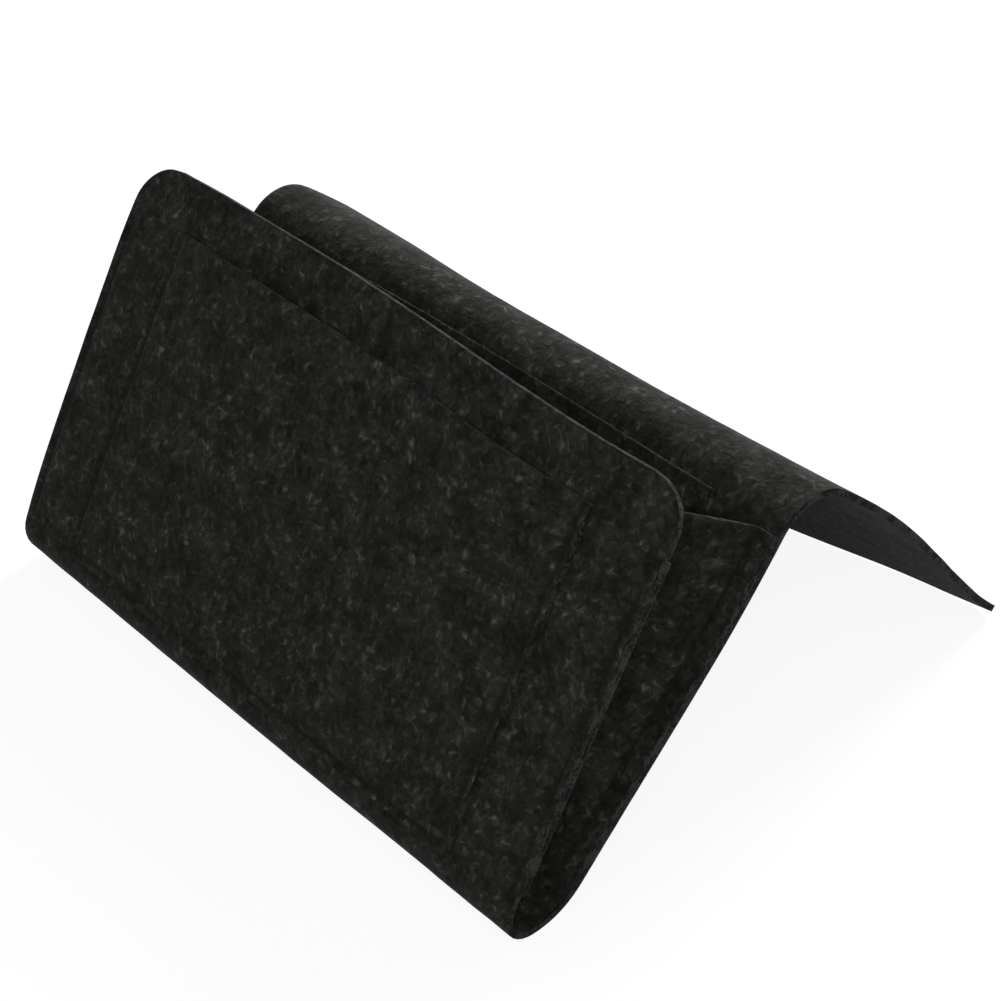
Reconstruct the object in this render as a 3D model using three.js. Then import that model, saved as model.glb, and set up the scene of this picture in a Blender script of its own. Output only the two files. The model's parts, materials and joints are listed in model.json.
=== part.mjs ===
// A bedside caddy of thick felt: a front pouch, a back panel and a flap for under the mattress.
// It stands as a tent, on the fold under its pouch and on the free edge of its flap.
// Millimetres and degrees. X runs along the caddy, Y from its front to its back, Z up.

import * as THREE from 'three';

// Driving dimensions of the long felt sheet, from the front panel over the crest to the flap.
const caddyLength = 320;
const feltThickness = 3;
const seatGap = 0.3;
const frontPanelHeight = 172;
const frontPanelLean = 60;
const frontCornerRadius = 20;
const foldFrontRadius = 14;
const foldRearRadius = 30;
const foldFlat = 1.5;
const backPanelHeight = 144;
const backPanelLean = 47.7;
const crestRadius = 31.3;
const flapLength = 156;
const flapCornerRadius = 8;

// Driving dimensions of the flap's flare: both its ends stand out, and it hangs steeper between them.
// The flare starts and ends at two distances in from each end.
const flapFlareAngle = 4.4;
const flapFlareStart = 43;
const flapFlareEnd = 102;

// Driving dimensions of the two sewn-on pocket panels. A rise is measured up from the bottom fold,
// a drop down from the front panel's upper edge, an overlap up from the start of the crest.
const frontPocketInset = 35;
const frontPocketRise = 1;
const frontPocketDrop = 23;
const frontPocketGape = 7.2;
const frontDividerShare = 0.6;
const innerPocketInset = 34;
const innerPocketRise = 4;
const innerPocketOverlap = 7;
const innerPocketGape = 7.2;
const seamInset = 3.5;

// Driving dimensions of the two side gussets, folded inwards like a bellows, measured the same way.
const gussetFrontRise = 5;
const gussetFrontDrop = 31;
const gussetRearRise = 2;
const gussetRearOverlap = 5;
const gussetFlange = 7;
const gussetTopDepth = 24;
const gussetBottomDepth = 30;
const gussetFoldRadius = 3.5;
const gussetFlangeRadius = 6;

const arcSegments = 12;
const cornerSegments = 4;
const flareSegments = 6;
const gussetStations = 7;
const pocketColumns = 12;
const pocketRows = 8;

const felt = (name, color) => new THREE.MeshStandardMaterial({ name, color, roughness: 0.97, metalness: 0 });
const sheetFelt = felt('charcoal sheet felt', 0x2e2e2c);
const pocketFelt = felt('charcoal pocket felt', 0x2b2b29);
const gussetFelt = felt('charcoal gusset felt', 0x323230);

const named = (name, geometry, material) => {
  const mesh = new THREE.Mesh(geometry, material);
  mesh.name = name;
  return mesh;
};

// A panel group lies in its sheet: x along the caddy, y up the sheet, z out of its face.
const panelGroup = (leanDegrees, y, z) => {
  const group = new THREE.Group();
  group.rotation.x = THREE.MathUtils.degToRad(leanDegrees);
  group.position.set(0, y, z);
  group.updateMatrixWorld();
  return group;
};

// A flat panel with its two upper corners rounded, as thick as the felt.
const roundedPanel = (length, from, to, radius) => {
  const half = length / 2;
  const outline = new THREE.Shape();
  outline.moveTo(-half, from);
  outline.lineTo(half, from);
  outline.lineTo(half, to - radius);
  outline.absarc(half - radius, to - radius, radius, 0, Math.PI / 2, false);
  outline.lineTo(radius - half, to);
  outline.absarc(radius - half, to - radius, radius, Math.PI / 2, Math.PI, false);
  outline.closePath();
  const options = { depth: feltThickness, bevelEnabled: false, curveSegments: arcSegments };
  return new THREE.ExtrudeGeometry(outline, options);
};

// A bent stretch of the sheet: an outline in Y and Z, drawn out along the caddy.
const bentStretch = (outline) => {
  const geometry = new THREE.ExtrudeGeometry(outline, {
    depth: caddyLength,
    bevelEnabled: false,
    curveSegments: arcSegments,
  });
  geometry.translate(0, 0, -caddyLength / 2);
  const alongCaddy = new THREE.Matrix4().makeBasis(
    new THREE.Vector3(0, 1, 0),
    new THREE.Vector3(0, 0, 1),
    new THREE.Vector3(1, 0, 0),
  );
  return geometry.applyMatrix4(alongCaddy);
};

// Joins rings of points into one closed body. Each ring runs out along one side of the felt
// and back along its other side, point for point, so both ends are filled from side to side.
const loftedBody = (rings) => {
  const count = rings[0].length;
  const positions = rings.flat().flatMap((point) => point.toArray());
  const indices = [];
  for (let ring = 0; ring < rings.length - 1; ring += 1) {
    for (let i = 0; i < count; i += 1) {
      const next = (i + 1) % count;
      const low = ring * count;
      const high = low + count;
      indices.push(low + i, low + next, high + next, low + i, high + next, high + i);
    }
  }
  const last = (rings.length - 1) * count;
  for (let i = 0; i < count / 2 - 1; i += 1) {
    const [a, b, c, d] = [i, i + 1, count - 2 - i, count - 1 - i];
    indices.push(a, c, b, a, d, c);
    indices.push(last + a, last + b, last + c, last + a, last + c, last + d);
  }
  const geometry = new THREE.BufferGeometry();
  geometry.setAttribute('position', new THREE.Float32BufferAttribute(positions, 3));
  geometry.setIndex(indices);
  return geometry;
};

// Turns a body made inside out the right way.
const facingOut = (geometry) => {
  const index = geometry.index.array;
  const position = geometry.getAttribute('position');
  const [a, b, c] = [new THREE.Vector3(), new THREE.Vector3(), new THREE.Vector3()];
  let volume = 0;
  for (let i = 0; i < index.length; i += 3) {
    a.fromBufferAttribute(position, index[i]);
    b.fromBufferAttribute(position, index[i + 1]);
    c.fromBufferAttribute(position, index[i + 2]);
    volume += a.dot(b.cross(c));
  }
  if (volume < 0) {
    for (let i = 0; i < index.length; i += 3) {
      [index[i + 1], index[i + 2]] = [index[i + 2], index[i + 1]];
    }
  }
  geometry.computeVertexNormals();
  return geometry;
};

// The bottom fold: a tight bend up into the front panel, a wide one up into the back panel.
const frontLean = THREE.MathUtils.degToRad(frontPanelLean);
const backLean = THREE.MathUtils.degToRad(backPanelLean);
const down = 1.5 * Math.PI;
const foldFrontAngle = Math.PI / 2 + frontLean;
const foldRearAngle = down + backLean;

const bottomFold = () => {
  const outline = new THREE.Shape();
  outline.absarc(0, foldFrontRadius, foldFrontRadius, foldFrontAngle, down, false);
  outline.absarc(foldFlat, foldRearRadius, foldRearRadius, down, foldRearAngle, false);
  outline.absarc(foldFlat, foldRearRadius, foldRearRadius - feltThickness, foldRearAngle, down, true);
  outline.absarc(0, foldFrontRadius, foldFrontRadius - feltThickness, down, foldFrontAngle, true);
  outline.closePath();
  return named('bottom_fold', bentStretch(outline), sheetFelt);
};

// The front panel's group has its outer face at z = 0, the back panel's its rear face.
const frontGroup = panelGroup(
  frontPanelLean,
  -foldFrontRadius * Math.sin(frontLean),
  foldFrontRadius * (1 + Math.cos(frontLean)),
);
const backGroup = panelGroup(
  backPanelLean,
  foldFlat + foldRearRadius * Math.sin(backLean),
  foldRearRadius * (1 - Math.cos(backLean)),
);

const frontPanel = () => {
  const geometry = roundedPanel(caddyLength, seatGap, frontPanelHeight, frontCornerRadius);
  geometry.translate(0, 0, -feltThickness);
  return named('front_panel', geometry, sheetFelt);
};

const backPanel = () => {
  const height = backPanelHeight - 2 * seatGap;
  const geometry = new THREE.BoxGeometry(caddyLength, height, feltThickness);
  geometry.translate(0, backPanelHeight / 2, feltThickness / 2);
  return named('back_panel', geometry, sheetFelt);
};

// The crest bends the sheet over the bed's edge. The flap leans so that its edge meets the floor.
const crestStart = new THREE.Vector3(0, backPanelHeight, 0).applyMatrix4(backGroup.matrixWorld);
const crestCentre = {
  y: crestStart.y + crestRadius * Math.sin(backLean),
  z: crestStart.z - crestRadius * Math.cos(backLean),
};
const reach = Math.hypot(crestRadius, flapLength);
const flapLean = Math.acos(-crestCentre.z / reach) - Math.atan2(flapLength, crestRadius);

// How steeply the flap hangs at a place along the caddy, in radians below the level.
const flapLeanAt = (x) => {
  const fromEnd = caddyLength / 2 - Math.abs(x);
  const share = THREE.MathUtils.smoothstep(fromEnd, flapFlareStart, flapFlareEnd);
  return flapLean + share * THREE.MathUtils.degToRad(flapFlareAngle);
};

// Places along the crest and the flap: their ends, and steps through both flares.
const flareStations = () => {
  const right = [caddyLength / 2];
  for (let step = 0; step <= flareSegments; step += 1) {
    const inset = THREE.MathUtils.lerp(flapFlareStart, flapFlareEnd, step / flareSegments);
    right.push(caddyLength / 2 - inset);
  }
  return [...right.map((x) => -x), ...right.reverse()];
};

const crestFold = () => {
  const backAngle = Math.PI / 2 + backLean;
  const rings = flareStations().map((x) => {
    const flapAngle = Math.PI / 2 - flapLeanAt(x);
    const arc = (radius) => Array.from({ length: arcSegments + 1 }, (_, step) => {
      const angle = THREE.MathUtils.lerp(backAngle, flapAngle, step / arcSegments);
      const [y, z] = [crestCentre.y + radius * Math.cos(angle), crestCentre.z + radius * Math.sin(angle)];
      return new THREE.Vector3(x, y, z);
    });
    return [...arc(crestRadius + feltThickness), ...arc(crestRadius).reverse()];
  });
  return named('crest_fold', facingOut(loftedBody(rings)), sheetFelt);
};

// The flap runs straight down from the crest to the floor, with its two free corners rounded.
const mattressFlap = () => {
  const rings = flareStations().map((x) => {
    const lean = flapLeanAt(x);
    const length = (crestCentre.z + crestRadius * Math.cos(lean)) / Math.sin(lean);
    const isEnd = Math.abs(x) === caddyLength / 2;
    const rows = [{ fall: seatGap, pull: 0 }];
    for (let step = 0; step <= cornerSegments; step += 1) {
      const angle = ((Math.PI / 2) * step) / cornerSegments;
      const pull = isEnd ? flapCornerRadius * (1 - Math.cos(angle)) : 0;
      rows.push({ fall: length - flapCornerRadius * (1 - Math.sin(angle)), pull });
    }
    const side = (radius) => rows.map(({ fall, pull }) => new THREE.Vector3(
      x - Math.sign(x) * pull,
      crestCentre.y + radius * Math.sin(lean) + fall * Math.cos(lean),
      crestCentre.z + radius * Math.cos(lean) - fall * Math.sin(lean),
    ));
    return [...side(crestRadius + feltThickness), ...side(crestRadius).reverse()];
  });
  return named('mattress_flap', facingOut(loftedBody(rings)), sheetFelt);
};

// A pocket panel lies flat along its seams and gapes between them, most at its open top edge.
// seams are the places of its upright seams, from left to right; the lower edge is a seam too.
const pocketPanel = (seams, bottom, top, gape) => {
  const left = seams[0] - seamInset;
  const right = seams[seams.length - 1] + seamInset;
  const columns = [left];
  seams.slice(1).forEach((seam, i) => {
    const width = seam - seams[i];
    for (let step = 0; step <= pocketColumns; step += 1) {
      if (i === 0 || step > 0) columns.push(seams[i] + (width * step) / pocketColumns);
    }
  });
  columns.push(right);
  const openShare = (x) => {
    const i = seams.findIndex((seam, k) => k > 0 && x >= seams[k - 1] && x <= seam);
    if (i < 0) return 0;
    return Math.sin((Math.PI * (x - seams[i - 1])) / (seams[i] - seams[i - 1]));
  };
  const seam = bottom + seamInset;
  const rows = [bottom];
  for (let step = 0; step <= pocketRows; step += 1) {
    rows.push(THREE.MathUtils.lerp(seam, top, step / pocketRows));
  }
  const rings = columns.map((x) => {
    const behind = rows.map((y) => {
      const rise = Math.max(0, y - seam) / (top - seam);
      return seatGap + (gape - seatGap) * openShare(x) * Math.sin((Math.PI / 2) * rise);
    });
    const face = rows.map((y, i) => new THREE.Vector3(x, y, behind[i] + feltThickness));
    const rear = rows.map((y, i) => new THREE.Vector3(x, y, behind[i]));
    return [...face, ...rear.reverse()];
  });
  return facingOut(loftedBody(rings));
};

const frontPocket = () => {
  const end = caddyLength / 2 - frontPocketInset;
  const seam = end - seamInset;
  const seams = [-seam, THREE.MathUtils.lerp(-end, end, frontDividerShare), seam];
  const top = frontPanelHeight - frontPocketDrop;
  const geometry = pocketPanel(seams, frontPocketRise, top, frontPocketGape);
  return named('front_pocket', geometry, pocketFelt);
};

const innerPocket = () => {
  const seam = caddyLength / 2 - innerPocketInset - seamInset;
  const top = backPanelHeight + innerPocketOverlap;
  const geometry = pocketPanel([-seam, seam], innerPocketRise, top, innerPocketGape);
  geometry.translate(0, 0, feltThickness);
  return named('inner_pocket', geometry, pocketFelt);
};

// Rounds the inner corners of a path in two dimensions with arcs of the given radii.
const roundedPath = (corners, radii, segments) => {
  const path = [corners[0]];
  for (let i = 1; i < corners.length - 1; i += 1) {
    const radius = radii[i - 1];
    const arriving = corners[i].clone().sub(corners[i - 1]).normalize();
    const leaving = corners[i + 1].clone().sub(corners[i]).normalize();
    const turn = Math.atan2(arriving.cross(leaving), arriving.dot(leaving));
    const start = corners[i].clone().addScaledVector(arriving, -radius * Math.tan(Math.abs(turn) / 2));
    const side = new THREE.Vector2(-arriving.y, arriving.x).multiplyScalar(Math.sign(turn) * radius);
    const centre = start.clone().add(side);
    for (let step = 0; step <= segments; step += 1) {
      path.push(start.clone().rotateAround(centre, (turn * step) / segments));
    }
  }
  path.push(corners[corners.length - 1]);
  return path;
};

// The outline of a strip of felt that follows a path, half its thickness to each side.
const stripOutline = (path) => {
  const sides = path.map((point, i) => {
    const before = path[Math.max(0, i - 1)];
    const after = path[Math.min(path.length - 1, i + 1)];
    const along = after.clone().sub(before).normalize();
    return new THREE.Vector2(-along.y, along.x).multiplyScalar(feltThickness / 2);
  });
  const near = path.map((point, i) => point.clone().sub(sides[i]));
  const far = path.map((point, i) => point.clone().add(sides[i]));
  return [...near, ...far.reverse()];
};

// One section of a gusset between two facing points: its flanges lie on the panels, and its
// middle is folded inwards. u is the distance in from the caddy's end, v the one from the front.
const gussetSection = (opening, depth) => {
  const half = feltThickness / 2;
  const toFold = opening / 2 - half;
  const toCentre = depth - gussetFoldRadius;
  const slope = Math.atan2(toFold, toCentre) - Math.asin(gussetFoldRadius / Math.hypot(toFold, toCentre));
  const corners = [
    new THREE.Vector2(0, half),
    new THREE.Vector2(gussetFlange, half),
    new THREE.Vector2(gussetFlange + toFold / Math.tan(slope), opening / 2),
    new THREE.Vector2(gussetFlange, opening - half),
    new THREE.Vector2(0, opening - half),
  ];
  const radii = [gussetFlangeRadius, gussetFoldRadius, gussetFlangeRadius];
  return stripOutline(roundedPath(corners, radii, arcSegments / 2));
};

const gusset = (name, side) => {
  const rings = [];
  const end = (side * caddyLength) / 2;
  const offPanel = feltThickness + seatGap;
  for (let station = 0; station < gussetStations; station += 1) {
    const share = station / (gussetStations - 1);
    const frontHeight = THREE.MathUtils.lerp(gussetFrontRise, frontPanelHeight - gussetFrontDrop, share);
    const rearHeight = THREE.MathUtils.lerp(gussetRearRise, backPanelHeight + gussetRearOverlap, share);
    const frontPoint = new THREE.Vector3(end, frontHeight, -offPanel);
    const rearPoint = new THREE.Vector3(end, rearHeight, offPanel);
    frontPoint.applyMatrix4(frontGroup.matrixWorld);
    rearPoint.applyMatrix4(backGroup.matrixWorld);
    const across = rearPoint.clone().sub(frontPoint);
    const opening = across.length();
    across.normalize();
    const depth = THREE.MathUtils.lerp(gussetBottomDepth, gussetTopDepth, share);
    const section = gussetSection(opening, depth);
    rings.push(section.map((point) => {
      const place = frontPoint.clone().addScaledVector(across, point.y);
      place.x -= side * point.x;
      return place;
    }));
  }
  return named(name, facingOut(loftedBody(rings)), gussetFelt);
};

frontGroup.add(frontPanel(), frontPocket());
backGroup.add(backPanel(), innerPocket());

const caddy = new THREE.Group();
caddy.name = 'bedside_caddy';
caddy.add(bottomFold(), frontGroup, backGroup, crestFold(), mattressFlap());
caddy.add(gusset('side_gusset_left', -1), gusset('side_gusset_right', 1));

// The origin lies on the floor, under the middle of the caddy.
const span = new THREE.Box3().setFromObject(caddy, true);
caddy.position.y = -(span.min.y + span.max.y) / 2;
caddy.updateMatrixWorld(true);

export default caddy;
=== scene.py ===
import json
import math

import bmesh
import bpy
from mathutils import Matrix, Vector, noise


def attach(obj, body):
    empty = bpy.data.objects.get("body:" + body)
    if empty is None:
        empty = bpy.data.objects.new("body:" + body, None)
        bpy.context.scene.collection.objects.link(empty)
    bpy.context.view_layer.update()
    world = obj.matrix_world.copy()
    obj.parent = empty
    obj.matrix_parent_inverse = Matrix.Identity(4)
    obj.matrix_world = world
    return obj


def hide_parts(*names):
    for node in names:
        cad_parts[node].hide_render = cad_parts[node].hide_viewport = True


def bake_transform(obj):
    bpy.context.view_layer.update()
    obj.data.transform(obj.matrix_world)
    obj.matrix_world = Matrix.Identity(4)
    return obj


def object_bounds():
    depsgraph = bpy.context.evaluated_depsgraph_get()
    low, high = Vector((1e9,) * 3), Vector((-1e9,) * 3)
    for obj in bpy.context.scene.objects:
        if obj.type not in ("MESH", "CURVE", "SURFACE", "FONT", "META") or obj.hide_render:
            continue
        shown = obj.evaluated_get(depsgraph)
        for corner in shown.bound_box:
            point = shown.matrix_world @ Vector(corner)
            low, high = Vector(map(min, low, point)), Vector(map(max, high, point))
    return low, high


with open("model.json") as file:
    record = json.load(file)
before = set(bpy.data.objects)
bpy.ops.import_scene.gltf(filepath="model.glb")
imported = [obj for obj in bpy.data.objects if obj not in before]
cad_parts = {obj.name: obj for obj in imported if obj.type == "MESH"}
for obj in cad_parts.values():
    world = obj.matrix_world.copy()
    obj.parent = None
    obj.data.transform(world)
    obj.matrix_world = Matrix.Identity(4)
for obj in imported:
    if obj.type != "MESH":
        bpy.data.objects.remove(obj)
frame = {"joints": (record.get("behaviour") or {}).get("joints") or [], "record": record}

bl_info = {
    "name": "Felt bedside caddy",
    "version": (1, 0, 0),
    "blender": (4, 5, 0),
    "location": "View3D > Sidebar > Caddy",
    "description": "Makes the felt sheet, pockets, gussets and stitching of a bedside caddy",
    "category": "Object",
}

# Everything is in metres and radians. X runs along the caddy, Y from its front to its back, Z up.
CAD_LOW, CAD_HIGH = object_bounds()
HINGES = {joint["name"]: Vector(joint["pos_m"]) for joint in frame["joints"]}
FACINGS = {mount["name"]: Vector(mount["axis"]) for mount in frame["record"]["mounts"]}


# Where each of the felt's unevennesses is read from the noise, so that no two are alike.
WAVE_SEED, LUMP_SEED = 3.1, 7.7
FRONT_POCKET_SEED, INNER_POCKET_SEED = 11.9, 17.3
GUSSET_SEED = 5.3


def setting(make, **kind):
    """A function that makes settings of one kind, each from its name, description and default."""
    return lambda name, description, default: make(
        name=name, description=description, default=default, **kind
    )


length = setting(bpy.props.FloatProperty, precision=5, unit="LENGTH")
angle = setting(bpy.props.FloatProperty, subtype="ANGLE")
share = setting(bpy.props.FloatProperty, subtype="FACTOR")
watts = setting(bpy.props.FloatProperty, unit="POWER")
millimetres = setting(bpy.props.FloatProperty, unit="CAMERA")
point = setting(bpy.props.FloatVectorProperty, unit="LENGTH")
colour = setting(bpy.props.FloatVectorProperty, subtype="COLOR")


def group(kind):
    return bpy.props.PointerProperty(type=kind)


class SheetSizes(bpy.types.PropertyGroup):
    """The long sheet, from the front panel's upper edge round to the flap's free edge."""

    along: length("Length", "The caddy from end to end", CAD_HIGH.x - CAD_LOW.x)
    felt: length("Felt", "Thickness of the felt", 0.003)
    front_height: length("Front height", "Front panel, from its fold to its upper edge", 0.172)
    front_lean: angle("Front lean", "Front panel above the floor", math.radians(60))
    front_corner: length("Front corner", "Radius of the front panel's upper corners", 0.02)
    fold_front: length("Front fold", "Outer radius of the fold in front", HINGES["pocket_open"].z)
    fold_flat: length("Fold flat", "Flat between the two bends of the fold", 0.0015)
    fold_rear: length("Rear fold", "Outer radius of the fold behind", 0.03)
    back_height: length("Back height", "Back panel, from the fold to the crest", 0.144)
    back_lean: angle("Back lean", "Back panel above the floor",
                     math.atan2(FACINGS["bed_side_face"].y, -FACINGS["bed_side_face"].z))
    split: length("Split", "How far above the fold the sheet's two pieces meet", 0.0105)
    crest_rise: length("Crest rise", "How far the back panel runs on before it bends over", 0.0072)
    crest_radius: length("Crest", "Inner radius of that bend", 0.0193)
    flap_foot: length("Flap foot", "Where the middle of the flap's free edge meets the floor", 0.1188)
    flap_corner: length("Flap corner", "Radius of the flap's corners", 0.005)
    corner_zone: share("Corner zone", "How many radii in from an end the grid gives way to a corner", 3.0)


class SheetForm(bpy.types.PropertyGroup):
    """How the felt lies: its bows, curls and waves."""

    front_bow: length("Front bow", "The front panel's outward bow", 0.0013)
    edge_rise: length("Edge rise", "How far its upper edge stands up on the left", 0.0015)
    rise_reach: length("Rise reach", "How far in from its left end it is up so far", 0.055)
    edge_drop: length("Edge drop", "How much lower that edge is on the right", 0.0052)
    edge_start: length("Edge start", "Where it starts to drop, left of the middle", 0.045)
    edge_reach: length("Edge reach", "From there to where it is lowest", 0.165)
    corner_curl: length("Corner curl", "How far the front panel's upper right corner curls back", 0.0045)
    left_curl: share("Left curl", "How far its upper left corner does, as a share of that", 0.5)
    curl_reach: length("Curl reach", "Where that curl starts, measured from the corner", 0.05)
    back_sag: length("Back sag", "The back panel's bow to the rear", 0.0027)
    sag_skew: share("Sag skew", "How much nearer the crest than the fold it bows most, 1 for midway", 1.8)
    sag_onset: share("Sag onset", "How gently it starts to bow at the fold, 1 for as gently as it ends", 0.6)
    foot_flare: length("Foot flare", "How far the ends of the flap's free edge stand out", 0.0237)
    flare_reach: length("Flare reach", "Where that flare has come to nothing, in from an end", 0.152)
    crest_flare: length("Crest flare", "How much wider the crest bends at its right end", 0.0024)
    crest_reach: length("Crest reach", "Where the crest starts to widen, in from that end", 0.12)
    flap_bulge: length("Flap bulge", "The flap's outward bow", 0.0045)
    bulge_start: length("Bulge start", "Where that bow starts, before the end of the crest", 0.0023)
    bulge_skew: share("Bulge skew", "How much nearer the crest it bows most, 1 for midway", 1.65)
    tip_curl: length("Tip curl", "How far the flap's corners curl up", 0.0018)
    tip_reach: length("Tip reach", "Where that curl starts, measured from the corner", 0.03)
    bow_reach: length("Bow reach", "How far the front panel's bow runs on into the fold", 0.05)
    end_swell: length("End swell", "How far the left end swells out", 0.0028)
    swell_height: length("Swell height", "Where it swells out most, above the fold", 0.1)
    swell_reach: length("Swell reach", "From there to where it starts to draw in", 0.0985)
    wave: length("Wave", "Height of the felt's slow waves", 0.0004)
    wave_length: length("Wave length", "From one slow wave to the next", 0.065)
    lump: length("Lump", "Height of the felt's small lumps", 0.00012)
    lump_length: length("Lump length", "From one small lump to the next", 0.011)


class PocketSizes(bpy.types.PropertyGroup):
    """The two panels that are sewn on as pockets."""

    front_inset: length("Front inset", "Front pocket, in from the caddy's ends", 0.035)
    front_rise: length("Front rise", "Front pocket's lower edge above the fold", 0.001)
    front_drop: length("Front drop", "Front pocket's mouth below the front panel's upper edge", 0.022)
    front_gape: length("Front gape", "How far the front pocket stands open", 0.003)
    divider: share("Divider", "Place of the seam between the front pockets", 0.6)
    inner_inset: length("Inner inset", "Inner pocket, in from the caddy's ends", 0.034)
    inner_rise: length("Inner rise", "Inner pocket's lower edge above the fold", 0.004)
    inner_overlap: length("Inner overlap", "Inner pocket's mouth above the crest's start", 0.0077)
    inner_crown: length("Inner crown", "How much further up its mouth runs in the middle", 0.0012)
    inner_gape: length("Inner gape", "How far the inner pocket stands open", 0.002)


class GussetSizes(bpy.types.PropertyGroup):
    """The two gussets, folded inwards between the front and the back panel."""

    front_rise: length("Front rise", "Lower end above the fold, in front", 0.005)
    front_drop: length("Front drop", "Upper end below the front panel's upper edge", 0.0275)
    rear_rise: length("Rear rise", "Lower end above the fold, behind", 0.002)
    rear_overlap: length("Rear overlap", "Upper end above the crest's start", 0.005)
    flange: length("Flange", "Width of the part that is sewn flat", 0.0095)
    rear_inset: length("Rear inset", "From its rear edge in to its seam", 0.0085)
    top_depth: length("Top depth", "How far its fold reaches in, at its upper end", 0.024)
    bottom_depth: length("Bottom depth", "How far its fold reaches in, at its lower end", 0.03)
    fold_radius: length("Fold radius", "Radius of the fold itself", 0.0035)
    flange_radius: length("Flange radius", "Radius of the bend beside each flange", 0.0024)
    rumple: length("Rumple", "Height of the creases between the flanges", 0.0009)
    rumple_length: length("Rumple length", "From one crease to the next", 0.022)
    rumple_stretch: share("Rumple stretch", "How much longer the creases run across it than up it", 2.0)


class StitchSizes(bpy.types.PropertyGroup):
    """The lockstitch seams."""

    inset: length("Inset", "From a felt's edge in to its seam", 0.0035)
    pitch: length("Pitch", "From one stitch to the next", 0.0036)
    stitch: length("Stitch", "Length of one stitch", 0.003)
    thread: length("Thread", "Thickness of the thread", 0.0005)
    pinched: share("Pinched", "The felt's thickness under a seam, as a share of its own", 0.5)
    pinch_reach: length("Pinch reach", "From a seam to where its groove is half as deep", 0.0016)
    proud: share("Proud", "How far a stitch's middle stands out of the felt, as a share of the thread", 0.25)
    unsewn: share("Unsewn", "How much of a gusset's height is left unsewn at each end", 0.02)


class GridSizes(bpy.types.PropertyGroup):
    """How finely the felt is divided."""

    step: length("Step", "Between grid lines", 0.0026)
    fine_step: length("Fine step", "Between grid lines beside a seam or an edge", 0.0007)
    fine_reach: length("Fine reach", "How far from a seam or edge they stay so close", 0.0035)
    closest: share("Closest", "How close lines may come, as a share of the fine step", 0.7)
    edge_round: length("Edge round", "Rounding of the cut edges", 0.0006)
    edge_turn: angle("Edge turn", "The least angle that counts as a cut edge", math.radians(50))


class FeltLooks(bpy.types.PropertyGroup):
    """The felt's and the thread's colours."""

    base: colour("Base", "The felt between its fibres", (0.0175, 0.0176, 0.0157))
    # Besides the felt's darker patches, this colour is painted along the seams as painted shade in their
    # grooves.
    shade: colour("Shade", "The felt's darker patches", (0.0046, 0.0046, 0.0041))
    fibre: colour("Fibre", "The pale fibres in the felt", (0.066, 0.067, 0.062))
    cut: colour("Cut", "The felt's cut edges", (0.025, 0.025, 0.0222))
    thread: colour("Thread", "The sewing thread", (0.0065, 0.0065, 0.0060))


class StageSizes(bpy.types.PropertyGroup):
    """The camera, the floor and the lamps."""

    camera: point("Camera", "Where the camera stands", (0.58757, -0.5325, 0.63898))
    azimuth: angle("Azimuth", "The camera's turn round the caddy", math.radians(47.877))
    elevation: angle("Elevation", "The camera's height above the level", math.radians(36.743))
    roll: angle("Roll", "The camera's roll", math.radians(-0.219))
    lens: millimetres("Lens", "The camera's focal length", 82.66)
    floor: length("Floor", "The floor's width", 12.0)
    floor_colour: colour("Floor colour", "The floor under its lamps", (0.5, 0.5, 0.5))
    floor_white: share("Floor white", "Strength of the white that the camera sees on the floor", 1.12)
    floor_glow: share("Floor glow", "How much of that white it sees whatever the light", 0.8)
    ambient: share("Ambient", "Light from all round", 0.4)
    top_lamp: point("Top lamp", "Where the upper lamp stands, from the caddy's middle", (-0.3, 1.3, 0.9))
    top_width: length("Top width", "The upper lamp's width", 0.9)
    top_power: watts("Top power", "The upper lamp's power", 51.0)
    front_lamp: point("Front lamp", "Where the front lamp stands, from the middle", (1.25, -1.25, 1.28))
    front_width: length("Front width", "The front lamp's width", 1.2)
    front_power: watts("Front power", "The front lamp's power", 26.0)


def walk(place, heading, stretches, distance):
    """The place and heading at a distance along a line of straight and round stretches, as (length, turn)."""
    y, z = place
    for stretch, turn in stretches:
        step = min(distance, stretch)
        if turn:
            radius = stretch / turn
            ahead = heading + step / radius
            y += radius * (math.sin(ahead) - math.sin(heading))
            z -= radius * (math.cos(ahead) - math.cos(heading))
            heading = ahead
        else:
            y += step * math.cos(heading)
            z += step * math.sin(heading)
        distance -= step
        if distance <= 0:
            break
    return y, z, heading


def eased(value):
    """Runs smoothly from 0 to 1 as the value does."""
    value = min(1.0, max(0.0, value))
    return value * value * (3 - 2 * value)


def ripple(x, y, size, seed):
    """Smooth noise between about -1 and 1, with features of a size."""
    return noise.noise(Vector((x / size, y / size, seed)))


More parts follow.
